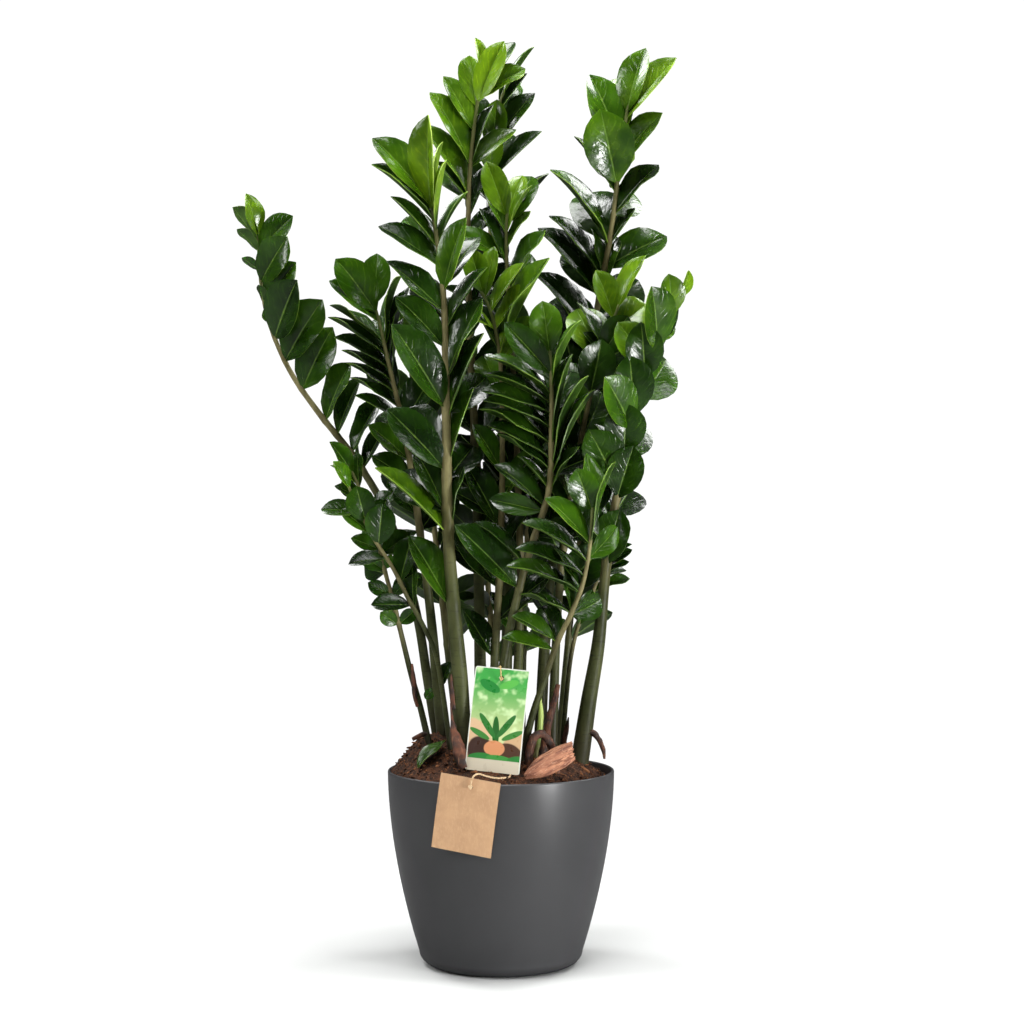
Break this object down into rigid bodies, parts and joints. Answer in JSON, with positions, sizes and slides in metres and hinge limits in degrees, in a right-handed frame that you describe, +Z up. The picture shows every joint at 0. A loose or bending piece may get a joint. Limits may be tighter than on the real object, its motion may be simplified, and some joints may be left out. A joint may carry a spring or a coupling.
{
  "type": "potted zz plant",
  "caption": "Potted ZZ plant: upright fronds of glossy leaflets standing in a soil-filled, round tapered pot, with a care card and a blank kraft tag.",
  "frame": {"origin": "middle of the pot's flat underside", "axes": "+Z up, out of the pot along its axis; -Y is the front, the side that the cards hang on; +X is the right as seen from the front"},
  "size_m": [0.6105, 0.3079, 1.2328],
  "materials": {
    "pot": "satin dark grey, moulded",
    "soil": "loose peaty potting soil",
    "foliage": "glossy waxy leaf",
    "shoot": "waxy young shoot",
    "husk": "dry papery sheath",
    "bark": "rough pine bark",
    "card": "coated printed card",
    "tie": "woven ribbon cord",
    "kraft": "uncoated kraft board",
    "twine": "jute twine"
  },
  "bodies": {
    "root": {"pot": "pot", "soil": "soil", "frond_front": "foliage", "frond_centre_right": "foliage", "frond_low_right": "foliage", "frond_right": "foliage", "frond_far_left": "foliage", "frond_left": "foliage", "frond_tall_right": "foliage", "frond_tall_centre": "foliage", "frond_tall_back": "foliage", "frond_low_left": "foliage", "frond_left_front": "foliage", "frond_mid_right": "foliage", "frond_centre": "foliage", "frond_mid_front": "foliage", "frond_thin_right": "foliage", "frond_back_right": "foliage", "frond_back_left": "foliage", "frond_back_centre": "foliage", "frond_back_far": "foliage", "young_shoot": "shoot", "dry_stub": "husk", "arched_husk": "husk", "bark_chip": "bark", "fallen_leaf": "foliage", "care_card": "card", "card_tie": "tie", "kraft_tag": "kraft", "tag_twine": "twine"}
  },
  "joints": []
}
